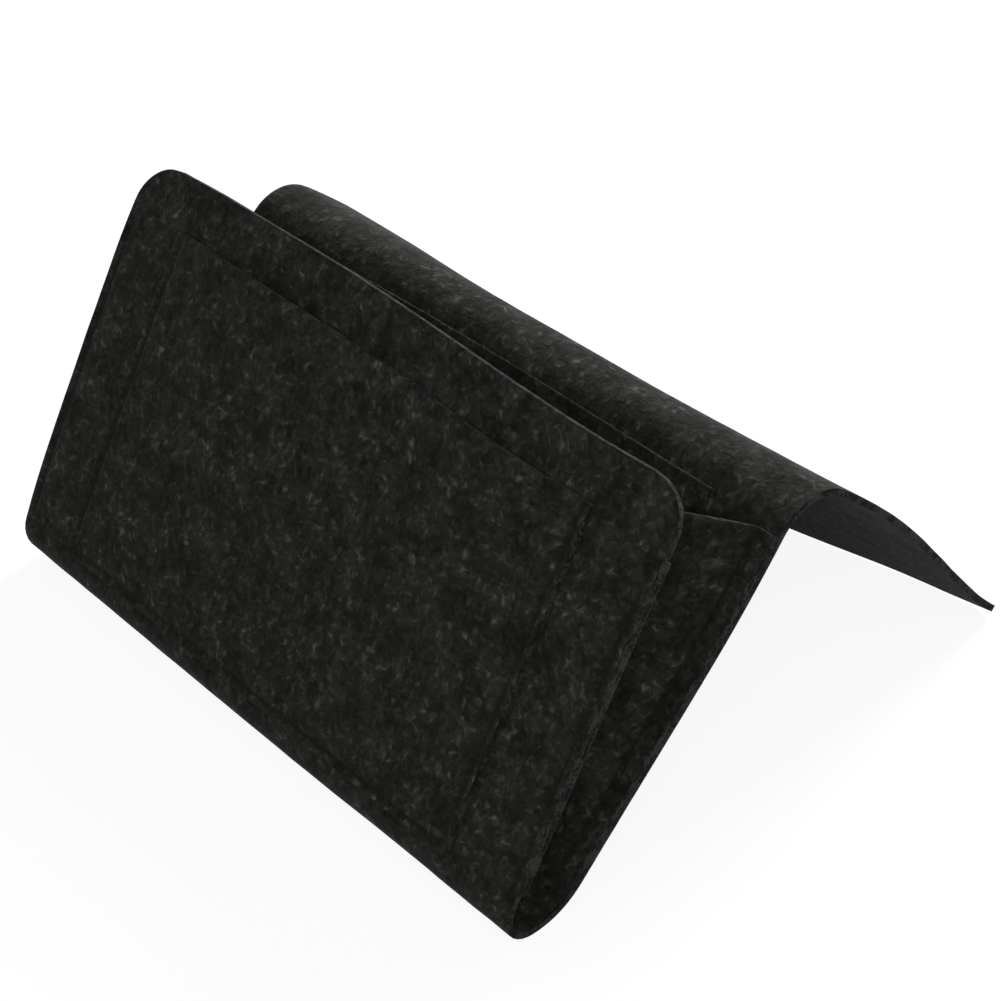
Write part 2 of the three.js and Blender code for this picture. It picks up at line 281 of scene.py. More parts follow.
class LongSheet:
    """Where the long sheet runs: x along the caddy, s from the front panel's upper edge to the flap's."""

    def __init__(self, settings):
        self.sizes, self.form = settings.sheet, settings.form
        sizes = self.sizes
        half_felt = sizes.felt / 2
        hinge = HINGES["pocket_open"]
        front_radius = sizes.fold_front - half_felt
        rear_radius = sizes.fold_rear - half_felt
        lean, height = sizes.front_lean, sizes.front_height
        front_turn = math.pi - lean
        self.heading = -front_turn
        self.start = (
            hinge.y - front_radius * math.sin(lean) + height * math.cos(lean),
            hinge.z + front_radius * math.cos(lean) + height * math.sin(lean),
        )
        self.stretches = [
            (height, 0),
            (front_radius * front_turn, front_turn),
            (sizes.fold_flat, 0),
            (rear_radius * sizes.back_lean, sizes.back_lean),
            (sizes.back_height, 0),
        ]
        self.fold = height
        self.back = sum(stretch for stretch, turn in self.stretches[:-1])
        self.crest = self.back + sizes.back_height
        self.half_length = sizes.along / 2
        self.crest_place = walk(self.start, self.heading, self.stretches, self.crest)
        rise, bend, flap = (stretch for stretch, turn in self.over_bed(0.0))
        self.flap = self.crest + rise + bend
        self.end = self.flap + flap

    def over_bed(self, x):
        """The crest and the flap as stretches, so that the flap's free edge stands on the floor."""
        form, half_felt = self.form, self.sizes.felt / 2
        near_right = max(0.0, 1 - (self.half_length - x) / form.crest_reach)
        radius = self.sizes.crest_radius + form.crest_flare * near_right**2
        from_end = self.half_length - abs(x)
        foot = self.sizes.flap_foot + form.foot_flare * (1 - eased(from_end / form.flare_reach))
        rise = self.sizes.crest_rise
        y, z, heading = walk(self.crest_place[:2], self.crest_place[2], [(rise, 0)], rise)
        centre_y = y + (radius + half_felt) * math.sin(heading)
        centre_z = z - (radius + half_felt) * math.cos(heading)
        reach = math.hypot(foot - centre_y, centre_z)
        lean = math.atan2(centre_z, foot - centre_y) + math.asin(radius / reach)
        turn = heading + lean
        return (rise, 0), ((radius + half_felt) * turn, -turn), (math.sqrt(reach**2 - radius**2), 0)

    def line(self, x, s):
        """The sheet's unrumpled middle: y, z and heading."""
        if s <= self.crest:
            return walk(self.start, self.heading, self.stretches, s)
        stretches = self.over_bed(x)
        rise, bend, flap = (stretch for stretch, turn in stretches)
        if s <= self.flap:
            distance = (s - self.crest) / (self.flap - self.crest) * (rise + bend)
        else:
            distance = rise + bend + (s - self.flap) / (self.end - self.flap) * flap
        return walk(self.crest_place[:2], self.crest_place[2], stretches, distance)

    def skewed(self, x, s):
        """s on the front panel, whose upper edge isn't quite level."""
        form = self.form
        if s > self.fold:
            return s
        drop = form.edge_drop * eased((x + form.edge_start) / form.edge_reach)
        drop -= form.edge_rise * eased((x + self.half_length) / form.rise_reach)
        return s + drop * (1 - s / self.fold)

    def lift(self, x, s):
        """How far the felt lies off that line, towards the pouch and the mattress."""
        form, sizes = self.form, self.sizes
        lift = form.wave * ripple(x, s, form.wave_length, WAVE_SEED)
        lift += form.lump * ripple(x, s, form.lump_length, LUMP_SEED)
        bow_end = self.fold + form.bow_reach
        if s < bow_end:
            lift -= form.front_bow * math.cos(math.pi * x / sizes.along) * math.sin(math.pi * s / bow_end)
            corner = math.hypot(self.half_length - abs(x), s)
            curl = form.corner_curl * max(0.0, 1 - corner / form.curl_reach) ** 2
            lift += curl if x > 0 else curl * form.left_curl
        elif self.back < s < self.crest + sizes.crest_rise:
            way = ((s - self.back) / (sizes.back_height + sizes.crest_rise)) ** form.sag_skew
            lift -= form.back_sag * math.sin(math.pi * way) ** (form.sag_onset if way < 0.5 else 1)
        elif s > self.flap - form.bulge_start:
            way = (s - self.flap + form.bulge_start) / (self.end - self.flap + form.bulge_start)
            lift += form.flap_bulge * math.sin(math.pi * (1 - max(0.0, 1 - way) ** form.bulge_skew))
            corner = math.hypot(self.half_length - abs(x), self.end - s)
            lift += form.tip_curl * max(0.0, 1 - corner / form.tip_reach) ** 2
        return lift

    def drift(self, x, s):
        """How far the felt drifts along the caddy: its left end swells out and draws in at the fold.

        The fourth powers keep this to the end itself, and even along most of it.
        """
        form = self.form
        if x > 0 or s > self.crest:
            return 0.0
        height = max(self.fold - s, (self.fold - self.back) / 2)
        swell = form.end_swell * (1 - ((height - form.swell_height) / form.swell_reach) ** 4)
        fade = 1 - eased((s - self.back) / self.sizes.back_height)
        return -swell * fade * (x / self.half_length) ** 4

    def place(self, x, s, off=0.0):
        """The point on the sheet's middle at x and s, or off it towards the pouch and the mattress."""
        y, z, heading = self.line(x, self.skewed(x, s))
        off += self.lift(x, s)
        return Vector((x + self.drift(x, s), y - off * math.sin(heading), z + off * math.cos(heading)))

    def cut(self, x, s):
        """Draws x in where the sheet's corners are rounded."""
        sizes = self.sizes
        for radius, away in ((sizes.front_corner, s), (sizes.flap_corner, self.end - s)):
            if away < radius:
                pull = radius - math.sqrt(radius**2 - (radius - away) ** 2)
                zone = sizes.corner_zone * radius
                x -= math.copysign(pull * max(0.0, abs(x) - self.half_length + zone) / zone, x)
        return x


def grid_lines(low, high, grid, fine=()):
    """Places from low to high, closer together at both ends and beside the places in fine."""
    count = math.ceil((high - low) / grid.step)
    places = [low + (high - low) * i / count for i in range(count + 1)]
    near = round(grid.fine_reach / grid.fine_step)
    closest = grid.closest * grid.fine_step
    for middle in (low, high, *fine):
        places += [middle + grid.fine_step * i for i in range(-near, near + 1)]
    kept = [low]
    for place in sorted(places):
        if min(place - kept[-1], high - place) > closest:
            kept.append(place)
    return [*kept, high]


def fullness(x, y, seams, stitch):
    """The share of the felt's thickness that is left beside seams, each from one point to another."""
    nearest = 1.0
    for (x0, y0), (x1, y1) in seams:
        run = Vector((x1 - x0, y1 - y0))
        way = Vector((x - x0, y - y0)).dot(run) / run.length_squared
        foot = Vector((x0, y0)) + run * min(1.0, max(0.0, way))
        nearest = min(nearest, (Vector((x, y)) - foot).length / (2 * stitch.pinch_reach))
    if nearest == 1.0:
        return 1.0
    return stitch.pinched + (1 - stitch.pinched) * eased(nearest)


def as_mesh(bm, name):
    """Turns what bm holds into a mesh with smooth faces, and frees it."""
    for face in bm.faces:
        face.smooth = True
    mesh = bpy.data.meshes.new(name)
    bm.to_mesh(mesh)
    bm.free()
    return mesh


def added(name, data):
    """A new object in the scene, of a mesh, a lamp or a camera."""
    item = bpy.data.objects.new(name, data)
    bpy.context.scene.collection.objects.link(item)
    return item


def uncut(column, row):
    """The column as it is, on a piece whose corners aren't rounded."""
    return column


def felt_piece(name, columns, rows, place, seams, settings, flat_height=1.0, flat_start=0.0, cut=uncut):
    """A piece of felt over a grid of two measures, which place turns into points.

    Its texture coordinates are metres on the flat felt. Rows may be shares of flat_height.
    """
    bm = bmesh.new()
    bmesh.ops.create_grid(bm, x_segments=len(columns) - 1, y_segments=len(rows) - 1, size=1.0)
    thickness = bm.verts.layers.deform.verify()
    full = bm.verts.layers.float.new("full")
    flat = bm.loops.layers.uv.new("flat_felt")
    for vert in bm.verts:
        column = columns[round((vert.co.x + 1) / 2 * (len(columns) - 1))]
        row = rows[round((vert.co.y + 1) / 2 * (len(rows) - 1))]
        column = cut(column, row)
        vert.co = place(column, row)
        # The material also reads this share, and paints shade into the seams' grooves from it.
        vert[full] = vert[thickness][0] = fullness(column, row, seams, settings.stitch)
        for loop in vert.link_loops:
            loop[flat].uv = (column, flat_start + row * flat_height)
    mesh = as_mesh(bm, name)
    mesh.materials.append(material_of("charcoal_felt", face_surface, settings.looks))
    mesh.materials.append(material_of("charcoal_felt_cut", cut_surface, settings.looks))
    piece = added(name, mesh)
    piece.vertex_groups.new(name="thickness")
    thicken(piece, settings)
    return piece


def thicken(piece, settings):
    """Gives a piece the felt's thickness and rounds its cut edges, which take its second material."""
    grid = settings.grid
    solid = piece.modifiers.new("felt", "SOLIDIFY")
    solid.thickness = settings.sheet.felt
    solid.offset = 0
    solid.vertex_group = "thickness"
    solid.material_offset_rim = 1
    rounding = piece.modifiers.new("cut_edge", "BEVEL")
    rounding.width = grid.edge_round
    rounding.segments = 2
    rounding.limit_method = "ANGLE"
    rounding.angle_limit = grid.edge_turn


def front_pocket_seams(settings):
    """The front pocket's seams, in x and the height above the fold, with the one that divides it second."""
    pocket, stitch = settings.pocket, settings.stitch
    end = settings.sheet.along / 2 - pocket.front_inset
    top = settings.sheet.front_height - pocket.front_drop
    low = pocket.front_rise + stitch.inset
    middle = end * (2 * pocket.divider - 1)
    sides = [((x, low), (x, top)) for x in (stitch.inset - end, middle, end - stitch.inset)]
    return [*sides, ((stitch.inset - end, low), (end - stitch.inset, low))]


def inner_pocket_seams(settings):
    """The inner pocket's seams, in x and the height above the fold."""
    pocket, stitch = settings.pocket, settings.stitch
    end = settings.sheet.along / 2 - pocket.inner_inset - stitch.inset
    top = settings.sheet.back_height
    low = pocket.inner_rise + stitch.inset
    return [((-end, low), (-end, top)), ((end, low), (end, top)), ((-end, low), (end, low))]


def gusset_seams(settings, inset, low, high):
    """The seams of both gussets on a panel, in x and the height above the fold."""
    end = settings.sheet.along / 2 - inset
    margin = settings.stitch.pitch / 2
    return [((x, low + margin), (x, high - margin)) for x in (-end, end)]


def front_gusset_seams(settings):
    gusset = settings.gusset
    high = settings.sheet.front_height - gusset.front_drop
    return gusset_seams(settings, settings.stitch.inset, gusset.front_rise, high)


def rear_gusset_seams(settings):
    gusset = settings.gusset
    return gusset_seams(settings, gusset.rear_inset, gusset.rear_rise, settings.sheet.back_height)


def turned(seams, start, way):
    """Seams given by heights, as distances along the sheet."""
    return [((x0, start + way * y0), (x1, start + way * y1)) for (x0, y0), (x1, y1) in seams]


def sheet_seams(sheet, settings):
    """Every seam in the long sheet, in x and s."""
    front = front_pocket_seams(settings) + front_gusset_seams(settings)
    back = inner_pocket_seams(settings) + rear_gusset_seams(settings)
    return turned(front, sheet.fold, -1) + turned(back, sheet.back, 1)


def uprights(seams):
    """Where the upright ones among seams are, from left to right."""
    return sorted({x0 for (x0, y0), (x1, y1) in seams if x0 == x1})


def open_share(x, y, seams, low, high):
    """How much a pocket gapes: nothing at its seams, and most at its mouth, between them."""
    places = uprights(seams)
    for left, right in zip(places, places[1:]):
        if left < x < right:
            return math.sin(math.pi * (x - left) / (right - left)) * eased((y - low) / (high - low))
    return 0.0


class Pocket:
    """A pocket panel that lies on the long sheet: x along the caddy, y up from the fold."""

    def __init__(self, settings, sheet, inset, low, high, seams, gape, seed):
        self.sheet, self.low, self.high, self.seams = sheet, low, high, seams
        self.end = settings.sheet.along / 2 - inset
        self.felt, self.form, self.gape, self.seed = settings.sheet.felt, settings.form, gape, seed
        self.pinching = seams

    def off(self, x, y):
        """How far its middle lies off the sheet's."""
        lumps = self.form.lump * ripple(x, y, self.form.lump_length, self.seed)
        gape = self.gape * open_share(x, y, self.seams, self.low, self.high)
        return self.felt + abs(lumps) + gape


class FrontPocket(Pocket):
    """It lies on the outside of the front panel. The seam that divides it hardly pulls it in."""

    def __init__(self, settings, *others):
        super().__init__(settings, *others)
        left, self.divider, right, low = self.seams
        self.pinching = [left, right, low]

    def place(self, x, y, off=0.0):
        return self.sheet.place(x, self.sheet.fold - y, -off - self.off(x, y))


class InnerPocket(Pocket):
    """It lies on the back panel, in the pouch."""

    def __init__(self, settings, *others):
        super().__init__(settings, *others)
        self.crown = settings.pocket.inner_crown

    def place(self, x, y, off=0.0):
        on_panel = y + self.crown * math.cos(math.pi / 2 * x / self.end) * y / self.high
        return self.sheet.place(x, self.sheet.back + on_panel, off + self.off(x, y))


def rounded_path(corners, radii, steps=10):
    """A path in two dimensions, with an arc of a number of steps at each of its inner corners."""
    path = [corners[0]]
    for before, corner, after, radius in zip(corners, corners[1:], corners[2:], radii):
        arriving, leaving = (corner - before).normalized(), (after - corner).normalized()
        turn = math.atan2(arriving.cross(leaving), arriving.dot(leaving))
        start = corner - arriving * radius * math.tan(abs(turn) / 2)
        side = Vector((-arriving.y, arriving.x)) * math.copysign(radius, turn)
        for step in range(steps + 1):
            arm = Matrix.Rotation(turn * step / steps, 2) @ -side
            path.append(start + side + arm)
    return [*path, corners[-1]]


def along_path(path, way):
    """The point at a share of a path's length, and the direction across the path there."""
    runs = [(b - a).length for a, b in zip(path, path[1:])]
    distance = way * sum(runs)
    for a, b, run in zip(path, path[1:], runs):
        if distance <= run or b is path[-1]:
            ahead = (b - a).normalized()
            return a + ahead * distance, Vector((-ahead.y, ahead.x))
        distance -= run


class Gusset:
    """A gusset: u from its front edge to its rear edge, h its height as a share."""

    def __init__(self, settings, sheet, side):
        self.settings, self.sheet, self.side = settings, sheet, side
        self.paths = {}
        self.width = self.run(0.5)

    def ends(self, h):
        """The points where its two edges meet the panels, at a height."""
        gusset, sizes, sheet = self.settings.gusset, self.settings.sheet, self.sheet
        front_high = sizes.front_height - gusset.front_drop
        rear_high = sizes.back_height + gusset.rear_overlap
        front = gusset.front_rise + (front_high - gusset.front_rise) * h
        rear = gusset.rear_rise + (rear_high - gusset.rear_rise) * h
        x, off = self.side * sheet.half_length, sizes.felt / 2
        return sheet.place(x, sheet.fold - front, off), sheet.place(x, sheet.back + rear, off)

    def path(self, h):
        """Its section at a height: the distance in from the caddy's end, and from the front panel."""
        if h not in self.paths:
            gusset, half_felt = self.settings.gusset, self.settings.sheet.felt / 2
            front, rear = self.ends(h)
            opening = (rear - front).length
            depth = gusset.bottom_depth + (gusset.top_depth - gusset.bottom_depth) * h
            to_fold, to_centre = opening / 2 - half_felt, depth - gusset.fold_radius
            slope = math.atan2(to_fold, to_centre)
            slope -= math.asin(gusset.fold_radius / math.hypot(to_fold, to_centre))
            corners = [
                Vector((0, half_felt)),
                Vector((gusset.flange, half_felt)),
                Vector((gusset.flange + to_fold / math.tan(slope), opening / 2)),
                Vector((gusset.flange, opening - half_felt)),
                Vector((0, opening - half_felt)),
            ]
            radii = [gusset.flange_radius, gusset.fold_radius, gusset.flange_radius]
            self.paths[h] = rounded_path(corners, radii)
        return self.paths[h]

    def run(self, h):
        path = self.path(h)
        return sum((b - a).length for a, b in zip(path, path[1:]))

    def place(self, u, h, off=0.0):
        """The point at u and h, or off it towards the caddy's end. Its creases fade out at the flanges."""
        gusset = self.settings.gusset
        front, rear = self.ends(h)
        point, normal = along_path(self.path(h), u / self.width)
        free = eased((min(u, self.width - u) - gusset.flange) / gusset.flange)
        height = h * self.settings.sheet.back_height
        across, seed = u / gusset.rumple_stretch, GUSSET_SEED * self.side
        off += free * gusset.rumple * ripple(across, height, gusset.rumple_length, seed)
        point = point + off * normal
        to_rear = (rear - front).normalized()
        return front + to_rear * point.y - Vector((self.side * point.x, 0, 0))


def grain():
    """A ball of unit radius, from which every stitch is made."""
    bm = bmesh.new()
    bmesh.ops.create_uvsphere(bm, u_segments=7, v_segments=6, radius=1.0)
    return as_mesh(bm, "stitch")


def sew(bm, ball, seam, place, stitch, off):
    """Stitches along a seam, each one a slanting grain of thread that lies in the felt's groove."""
    start, end = Vector(seam[0]), Vector(seam[1])
    first, last = place(*start), place(*end)
    count = max(1, round((last - first).length / stitch.pitch))
    step = (end - start) / count
    reach = step * stitch.stitch / stitch.pitch / 2
    for i in range(count):
        middle = start + step * (i + 0.5)
        centre = place(*middle, off)
        ahead = (place(*(middle + reach), off) - place(*(middle - reach), off)) / 2
        out = (place(*middle, 2 * off) - centre).normalized()
        side = ahead.cross(out).normalized() * stitch.thread / 2
        out = out * stitch.thread / 2
        matrix = Matrix((side, out, ahead + side / 2)).transposed().to_4x4()
        matrix.translation = centre
        bm.from_mesh(ball)
        bm.verts.ensure_lookup_table()
        for vert in bm.verts[-len(ball.vertices):]:
            vert.co = matrix @ vert.co


class Value:
    """A shader socket that Python's operators work on. Each operation adds its own node."""

    def __init__(self, shade, socket):
        self.shade, self.socket = shade, socket

    def maths(self, operation, *values):
        inputs = dict(enumerate(values))
        return self.shade.add("Math", inputs, operation=operation)

    def __add__(self, other):
        return self.maths("ADD", self, other)

    def __sub__(self, other):
        return self.maths("SUBTRACT", self, other)

    def __mul__(self, other):
        return self.maths("MULTIPLY", self, other)

    __radd__, __rmul__ = __add__, __mul__

    def ramp(self, low, high):
        """0 below low, 1 above high, and smooth between them."""
        inputs = {"Value": self, "From Min": low, "From Max": high}
        return self.shade.add("MapRange", inputs, interpolation_type="SMOOTHSTEP")


# The Mix node's sockets for colours, which share their names with those for numbers and vectors.
MIX_FIRST, MIX_SECOND, MIXED = 6, 7, 2


class Shade:
    """The nodes of a new material or world."""

    def __init__(self, owner):
        self.owner = owner
        owner.use_nodes = True
        self.tree = owner.node_tree
        self.tree.nodes.clear()

    def add(self, kind, inputs, output=0, **settings):
        """Adds a node of a kind, with its settings first and then its inputs, and gives one output."""
        node = self.tree.nodes.new("ShaderNode" + kind)
        for name, value in settings.items():
            setattr(node, name, value)
        for name, value in inputs.items():
            if isinstance(value, Value):
                self.tree.links.new(value.socket, node.inputs[name])
            else:
                node.inputs[name].default_value = value
        return Value(self, node.outputs[output]) if node.outputs else None

    def vector(self, operation, first, second):
        return self.add("VectorMath", {0: first, 1: second}, operation=operation)

    def blend(self, factor, first, second):
        """Mixes two colours."""
        inputs = {"Factor": factor, MIX_FIRST: first, MIX_SECOND: second}
        return self.add("Mix", inputs, output=MIXED, data_type="RGBA")

    def finish(self, surface, output="OutputMaterial"):
        self.add(output, {"Surface": surface})
        return self.owner


def opaque(rgb):
    return (*rgb, 1.0)


# How many times longer than wide a fibre is.
FIBRE_STRETCH = 2.4

# How finely and how far the felt's pattern sways to and fro, so that no fibre is straight.
SWAY_SCALE, SWAY_REACH = 260.0, 0.004

# Where the tufts are read from the noise, away from the patches.
TUFTS_ASIDE = (0.71, 0.29, 0)

# How much patches and clouds have to add up to before fibres show, and what crossing fibres add.
CROWD_START, CROSSING = 1.8, 0.2


def fibres(shade, spot, cell, width, thin, full, seed):
    """Short curved fibres: streaks of noise, whose direction changes from cell to cell."""
    shifted = shade.vector("ADD", spot, (seed, -seed, 0))
    corners = {"Vector": shifted, "Scale": 1 / cell}
    cells = shade.add("TexVoronoi", corners, output="Color", voronoi_dimensions="2D")
    turn = shade.add("SeparateColor", {"Color": cells}) * (2 * math.pi)
    turned_spot = shade.add("VectorRotate", {"Vector": shifted, "Angle": turn}, rotation_type="Z_AXIS")
    stretched = shade.vector("MULTIPLY", turned_spot, (1 / (FIBRE_STRETCH * width), 1 / width, 0))
    streaks = shade.add("TexNoise", {"Vector": stretched, "Scale": 1.0, "Detail": 1.0}, noise_dimensions="2D")
    return streaks.ramp(thin, full)


def flat_noise(shade, spot, size, detail, roughness=0.5):
    """Noise over the flat felt, with features of a size."""
    inputs = {"Vector": spot, "Scale": 1 / size, "Detail": detail, "Roughness": roughness}
    return shade.add("TexNoise", inputs, noise_dimensions="2D")


def solid_noise(shade, scale, detail):
    """Noise through the piece itself, with about so many features to a metre."""
    spot = shade.add("TexCoord", {}, output="Object")
    return shade.add("TexNoise", {"Vector": spot, "Scale": scale, "Detail": detail})


def felt_layers(shade):
    """The layers of noise that make up the felt's pattern, over its flat coordinates."""
    flat = shade.add("TexCoord", {}, output="UV")
    sway = shade.add("TexNoise", {"Vector": flat, "Scale": SWAY_SCALE, "Detail": 1.0}, output="Color")
    spot = shade.vector("ADD", flat, shade.vector("MULTIPLY", sway, (SWAY_REACH, SWAY_REACH, 0)))
    aside = shade.vector("ADD", spot, TUFTS_ASIDE)
    return {
        "clouds": flat_noise(shade, spot, size=0.014, detail=3.0),
        "patches": flat_noise(shade, spot, size=0.0043, detail=2.0, roughness=0.6),
        "pits": flat_noise(shade, spot, size=0.0019, detail=2.0),
        "hairs": fibres(shade, spot, cell=0.0036, width=0.0012, thin=0.48, full=0.86, seed=0.13),
        "wisps": fibres(shade, spot, cell=0.0060, width=0.0024, thin=0.40, full=0.84, seed=0.37),
        "tufts": flat_noise(shade, aside, size=0.0038, detail=1.0).ramp(low=0.46, high=0.86),
    }


def weighed(layers, **weights):
    """Adds layers up, each times its weight."""
    first, *others = (weight * layers[name] for name, weight in weights.items())
    return sum(others, first)


def felt_pattern(shade, looks):
    """The felt's colour and height: patches, pale fibres, small pits and painted shade in the grooves at its
    seams.
    """
    layers = felt_layers(shade)
    tone = weighed(layers, patches=0.95, clouds=0.9, pits=0.65).ramp(low=0.75, high=1.75)
    colour = shade.blend(tone, opaque(looks.shade), opaque(looks.base))
    crowd = weighed(layers, patches=2.6, clouds=3.0) - CROWD_START
    pale = weighed(layers, hairs=0.13, wisps=0.23, tufts=0.21) * crowd
    pale += CROSSING * layers["tufts"] * layers["wisps"]
    colour = shade.blend(pale.ramp(low=0.0, high=1.0), colour, opaque(looks.fibre))
    height = weighed(layers, hairs=0.5, wisps=0.7, tufts=0.6, patches=0.7, pits=0.5)
    # Painted shade: where a seam pinches the felt thin, the colour is blended towards the shade colour, in
    # place of the shadow in the seam's groove.
    full = shade.add("Attribute", {}, output="Fac", attribute_name="full")
    colour = shade.blend(full.ramp(low=0.0, high=1.0), opaque(looks.shade), colour)
    return colour, height


def felt_shader(shade, colour, height, depth):
    """Dull felt with a little sheen, whose relief is so deep."""
    normal = shade.add("Bump", {"Height": height, "Strength": 1.0, "Distance": depth})
    inputs = {
        "Base Color": colour,
        "Roughness": 1.0,
        "Specular IOR Level": 0.06,
        "Sheen Weight": 0.03,
        "Sheen Roughness": 0.45,
        "Normal": normal,
    }
    return shade.add("BsdfPrincipled", inputs)


def face_surface(shade, looks):
    """Needled felt, dark heather with pale fibres."""
    colour, height = felt_pattern(shade, looks)
    return felt_shader(shade, colour, height, depth=0.00028)


def cut_surface(shade, looks):
    """The cut edge of the felt, where fibre ends stand out, paler than its face."""
    height = solid_noise(shade, scale=700.0, detail=2.0) + solid_noise(shade, scale=160.0, detail=2.0)
    colour = shade.blend(height.ramp(low=0.9, high=1.12), opaque(looks.shade), opaque(looks.cut))
    return felt_shader(shade, colour, height, depth=0.0004)


def thread_surface(shade, looks):
    """Spun sewing thread."""
    plies = solid_noise(shade, scale=2600.0, detail=1.0)
    tone = shade.blend(plies.ramp(low=0.35, high=0.7), opaque(looks.thread), opaque(looks.shade))
    normal = shade.add("Bump", {"Height": plies, "Strength": 0.6, "Distance": 0.0001})
    inputs = {"Base Color": tone, "Roughness": 0.8, "Specular IOR Level": 0.1, "Normal": normal}
    return shade.add("BsdfPrincipled", inputs)


def material_of(name, surface, looks):
    """The material of this name, which surface makes the first time that it is asked for."""
    if name not in bpy.data.materials:
        shade = Shade(bpy.data.materials.new(name))
        shade.finish(surface(shade, looks))
    return bpy.data.materials[name]


def settings_of(context):
    return context.scene.caddy


class CADDY_OT_long_sheet(bpy.types.Operator):
    """Make the long felt sheet, in two pieces that meet just above the fold behind"""

    bl_idname = "caddy.long_sheet"
    bl_label = "Long sheet"

    def execute(self, context):
        settings = settings_of(context)
        sizes, grid = settings.sheet, settings.grid
        sheet = LongSheet(settings)
        seams = sheet_seams(sheet, settings)
        split = sheet.back + sizes.split
        columns = grid_lines(-sheet.half_length, sheet.half_length, grid, uprights(seams))
        pocket_level = min(s0 for (x0, s0), (x1, s1) in seams if s0 == s1)
        rows = grid_lines(0.0, split, grid, [pocket_level])
        pouch = felt_piece("pouch_sheet", columns, rows, sheet.place, seams, settings, cut=sheet.cut)
        rows = grid_lines(split, sheet.end, grid)
        bed = felt_piece("bed_sheet", columns, rows, sheet.place, seams, settings, cut=sheet.cut)
        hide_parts("front_panel", "bottom_fold")
        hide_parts("back_panel", "crest_fold", "mattress_flap")
        for piece, from_s, to_s in ((pouch, 0.0, split), (bed, split, sheet.end)):
            to_s - from_s
        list(pouch_blend(sheet))
        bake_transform(pouch)
        crest_start, crest_end = sheet.place(0, sheet.crest + sizes.crest_rise), sheet.place(0, sheet.flap)
        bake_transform(bed)
        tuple(crest_start)
        return {"FINISHED"}


def pouch_blend(sheet, spread=0.0):
    """The two points between which felt bends from the front panel to the back panel."""
    across = (sheet.sizes.front_lean + sheet.sizes.back_lean) / 2
    direction = Vector((0, math.sin(across), -math.cos(across)))
    front = sheet.place(0, sheet.fold, sheet.sizes.felt / 2)
    back = sheet.place(0, sheet.back, sheet.sizes.felt / 2)
    reach = (back - front).dot(direction) + 2 * spread
    start = front - direction * spread
    return start, start + direction * reach


class CADDY_OT_pockets(bpy.types.Operator):
    """Make the front pocket and the inner pocket"""

    bl_idname = "caddy.pockets"
    bl_label = "Pockets"

    def execute(self, context):
        settings = settings_of(context)
        for pocket, name, node, body, under in pockets_of(settings):
            columns = grid_lines(-pocket.end, pocket.end, settings.grid, uprights(pocket.seams))
            low_seam = pocket.seams[-1][0][1]
            rows = grid_lines(pocket.low, pocket.high, settings.grid, [low_seam])
            place, seams = pocket.place, pocket.pinching
            piece = felt_piece(name, columns, rows, place, seams, settings, flat_start=pocket.seed)
            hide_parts(node)
            2 * pocket.end
            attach(piece, body)
        return {"FINISHED"}


def pockets_of(settings):
    """Both pockets, each with its piece's name, its node, its body and the piece that it lies on."""
    sheet = LongSheet(settings)
    sizes, pocket = settings.sheet, settings.pocket
    front = FrontPocket(
        settings, sheet, pocket.front_inset, pocket.front_rise, sizes.front_height - pocket.front_drop,
        front_pocket_seams(settings), pocket.front_gape, FRONT_POCKET_SEED,
    )
    inner = InnerPocket(
        settings, sheet, pocket.inner_inset, pocket.inner_rise, sizes.back_height + pocket.inner_overlap,
        inner_pocket_seams(settings), pocket.inner_gape, INNER_POCKET_SEED,
    )
    return [
        (front, "front_pocket_felt", "front_pocket", "front", "pouch_sheet"),
        (inner, "inner_pocket_felt", "inner_pocket", "back", "bed_sheet"),
    ]


class CADDY_OT_gussets(bpy.types.Operator):
    """Make the two side gussets"""

    bl_idname = "caddy.gussets"
    bl_label = "Gussets"

    def execute(self, context):
        settings = settings_of(context)
        sheet = LongSheet(settings)
        grid, stitch = settings.grid, settings.stitch
        high = settings.sheet.back_height
        rows = [row / high for row in grid_lines(0.0, high, grid)]
        for side, word in ((-1, "left"), (1, "right")):
            gusset = Gusset(settings, sheet, side)
            places = (stitch.inset, gusset.width - settings.gusset.rear_inset)
            seams = [((u, 0.0), (u, 1.0)) for u in places]
            columns = grid_lines(0.0, gusset.width, grid, [*places, gusset.width / 2])
            name = f"{word}_gusset_felt"
            piece = felt_piece(name, columns, rows, gusset.place, seams, settings, high, side)
            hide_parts(f"side_gusset_{word}")
            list(pouch_blend(sheet, settings.gusset.flange))
            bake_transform(piece)
        return {"FINISHED"}


def stitching_jobs(settings, sheet):
    """What is sewn on the front and the back body, as seams, the felt's place and how far off it they lie."""
    stitch, felt = settings.stitch, settings.sheet.felt
    face = felt / 2 + stitch.thread * stitch.proud
    skin = face - (1 - stitch.pinched) * felt / 2
    front, inner = (pocket for pocket, *_ in pockets_of(settings))
    gusset_front = turned(front_gusset_seams(settings), sheet.fold, -1)
    pocket_front = turned(front_pocket_seams(settings), sheet.fold, -1)
    back = turned(rear_gusset_seams(settings) + inner_pocket_seams(settings), sheet.back, 1)
    front_jobs = [(seam, front.place, skin) for seam in front.pinching]
    front_jobs.append((front.divider, front.place, face))
    front_jobs += [(seam, sheet.place, -skin) for seam in gusset_front]
    front_jobs += [(seam, sheet.place, skin) for seam in pocket_front]
    back_jobs = [(seam, inner.place, skin) for seam in inner.seams]
    back_jobs += [(seam, sheet.place, -skin) for seam in back]
    for side in (-1, 1):
        gusset = Gusset(settings, sheet, side)
        rear = gusset.width - settings.gusset.rear_inset
        for u, jobs in ((stitch.inset, front_jobs), (rear, back_jobs)):
            seam = (u, stitch.unsewn), (u, 1 - stitch.unsewn)
            jobs.append((seam, gusset.place, skin))
    return front_jobs, back_jobs


